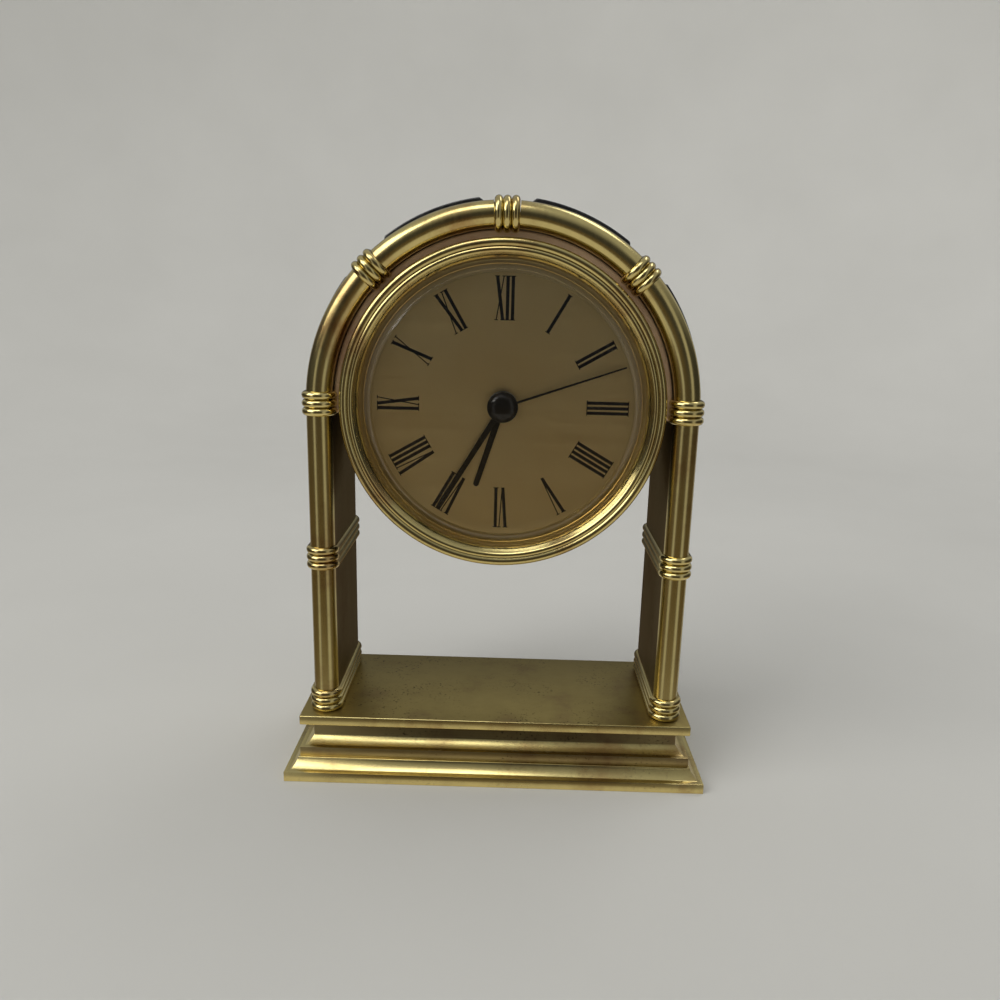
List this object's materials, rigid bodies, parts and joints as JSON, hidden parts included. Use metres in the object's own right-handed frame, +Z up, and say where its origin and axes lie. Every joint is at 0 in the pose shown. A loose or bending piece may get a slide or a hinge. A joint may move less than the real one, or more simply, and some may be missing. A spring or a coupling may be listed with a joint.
{
  "type": "arch desk clock",
  "caption": "Round quartz clock head carried in a brass arch with beaded collars and black panels, on a stepped rectangular base.",
  "frame": {"origin": "middle of the base underside", "axes": "+X to the right of the dial, -Y out of the dial, +Z up"},
  "size_m": [0.127, 0.0546, 0.1715],
  "materials": {
    "brass_polished": "polished",
    "brass_satin": "satin",
    "brass_warm": "polished",
    "dial_gold": "satin",
    "black_gloss": "gloss",
    "black_hand": "gloss",
    "black_matt": "matt",
    "clear_lens": "clear gloss",
    "white_plastic": "matt",
    "steel": "satin",
    "cell_can": "satin",
    "copper_wire": "satin",
    "board": "matt"
  },
  "bodies": {
    "clock_frame": {"base_bottom_plate": "brass_polished", "base_mid_tier": "brass_polished", "base_top_plate": "brass_satin", "battery": "cell_can", "battery_contact_minus": "steel", "battery_contact_plus": "steel", "bezel": "brass_polished", "circuit_board": "board", "crown_collar": "brass_polished", "dial": "dial_gold", "dial_spacer_ring": "dial_gold", "drum_case": "black_matt", "head_bridge": "brass_warm", "left_bow_lower_bar": "brass_polished", "left_bow_lower_panel": "black_gloss", "left_bow_upper_bar": "brass_polished", "left_bow_upper_panel": "black_gloss", "left_foot_collar": "brass_polished", "left_leg_lower_bar": "brass_polished", "left_leg_lower_panel": "black_gloss", "left_leg_screw": "steel", "left_leg_upper_bar": "brass_polished", "left_leg_upper_panel": "black_gloss", "left_mid_collar": "brass_polished", "left_shoulder_collar": "brass_polished", "left_spring_collar": "brass_polished", "lens": "clear_lens", "motor_coil": "copper_wire", "motor_stator": "steel", "movement_front_plate": "white_plastic", "movement_mid_plate": "white_plastic", "movement_rear_case": "white_plastic", "right_bow_lower_bar": "brass_polished", "right_bow_lower_panel": "black_gloss", "right_bow_upper_bar": "brass_polished", "right_bow_upper_panel": "black_gloss", "right_foot_collar": "brass_polished", "right_leg_lower_bar": "brass_polished", "right_leg_lower_panel": "black_gloss", "right_leg_screw": "steel", "right_leg_upper_bar": "brass_polished", "right_leg_upper_panel": "black_gloss", "right_mid_collar": "brass_polished", "right_shoulder_collar": "brass_polished", "right_spring_collar": "brass_polished"},
    "minute_hand_body": {"minute_hand": "black_hand", "centre_wheel": "white_plastic"},
    "hour_hand_body": {"hour_hand": "black_hand", "hour_wheel": "white_plastic"},
    "second_hand_body": {"second_hand": "black_hand", "hub_cap": "black_gloss", "second_wheel": "white_plastic"},
    "motion_wheel_body": {"motion_wheel": "white_plastic"},
    "third_wheel_body": {"third_wheel": "white_plastic"},
    "intermediate_wheel_body": {"intermediate_wheel": "white_plastic"},
    "rotor_body": {"motor_rotor": "steel"},
    "setting_knob_body": {"setting_knob": "black_matt"},
    "battery_door_body": {"battery_door": "white_plastic"}
  },
  "joints": [
    {"name": "minute_turn", "type": "hinge", "parent": "clock_frame", "child": "minute_hand_body", "pos_m": [0, 0, 0.11395], "axis": [0, 1, 0], "continuous": true},
    {"name": "hour_turn", "type": "hinge", "parent": "clock_frame", "child": "hour_hand_body", "pos_m": [0, 0, 0.11395], "axis": [0, 1, 0], "continuous": true},
    {"name": "second_turn", "type": "hinge", "parent": "clock_frame", "child": "second_hand_body", "pos_m": [0, 0, 0.11395], "axis": [0, 1, 0], "continuous": true},
    {"name": "motion_turn", "type": "hinge", "parent": "clock_frame", "child": "motion_wheel_body", "pos_m": [-0.00693, 0, 0.10995], "axis": [0, 1, 0], "continuous": true},
    {"name": "third_turn", "type": "hinge", "parent": "clock_frame", "child": "third_wheel_body", "pos_m": [-0.00883, 0, 0.11905], "axis": [0, 1, 0], "continuous": true},
    {"name": "intermediate_turn", "type": "hinge", "parent": "clock_frame", "child": "intermediate_wheel_body", "pos_m": [0.00727, 0, 0.11815], "axis": [0, 1, 0], "continuous": true},
    {"name": "rotor_turn", "type": "hinge", "parent": "clock_frame", "child": "rotor_body", "pos_m": [0.01147, 0, 0.12542], "axis": [0, 1, 0], "continuous": true},
    {"name": "setting_turn", "type": "hinge", "parent": "clock_frame", "child": "setting_knob_body", "pos_m": [-0.01493, 0, 0.10995], "axis": [0, 1, 0], "continuous": true},
    {"name": "door_pull", "type": "slide", "parent": "clock_frame", "child": "battery_door_body", "axis": [0, 1, 0], "range_m": [0, 0.02]}
  ],
  "couplings": [
    {"joint": "hour_turn", "follows": "minute_turn", "ratio": 0.083333},
    {"joint": "second_turn", "follows": "minute_turn", "ratio": 60},
    {"joint": "motion_turn", "follows": "minute_turn", "ratio": -0.33333},
    {"joint": "third_turn", "follows": "minute_turn", "ratio": -8},
    {"joint": "intermediate_turn", "follows": "minute_turn", "ratio": -300},
    {"joint": "rotor_turn", "follows": "minute_turn", "ratio": 1800},
    {"joint": "setting_turn", "follows": "minute_turn", "ratio": 1}
  ]
}
